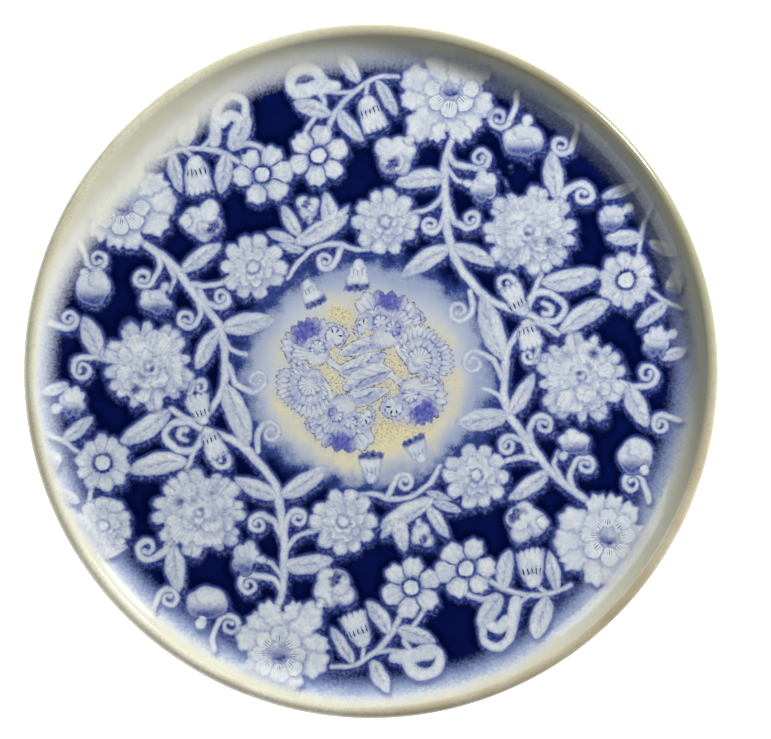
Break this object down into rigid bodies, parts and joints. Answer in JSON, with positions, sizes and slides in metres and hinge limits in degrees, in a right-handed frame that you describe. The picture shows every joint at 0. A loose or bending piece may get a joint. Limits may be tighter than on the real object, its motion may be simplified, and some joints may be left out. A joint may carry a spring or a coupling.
{
  "type": "decorative wall plate",
  "caption": "Round glazed earthenware wall plate: flat printed floor, shallow swept flank, rolled lip, and a foot ring pierced for a hanging wire.",
  "frame": {"origin": "centre of the foot ring's underside", "axes": "+Z along the plate's own axis, out of its decorated face; +Y towards the top of the plate when it hangs on a wall"},
  "size_m": [0.28, 0.28, 0.0178],
  "materials": {
    "glazed_earthenware": "glossy clear glaze over a blue floral print, cream centre and a stained cream lip"
  },
  "bodies": {
    "root": {"plate": "glazed_earthenware"}
  },
  "joints": []
}
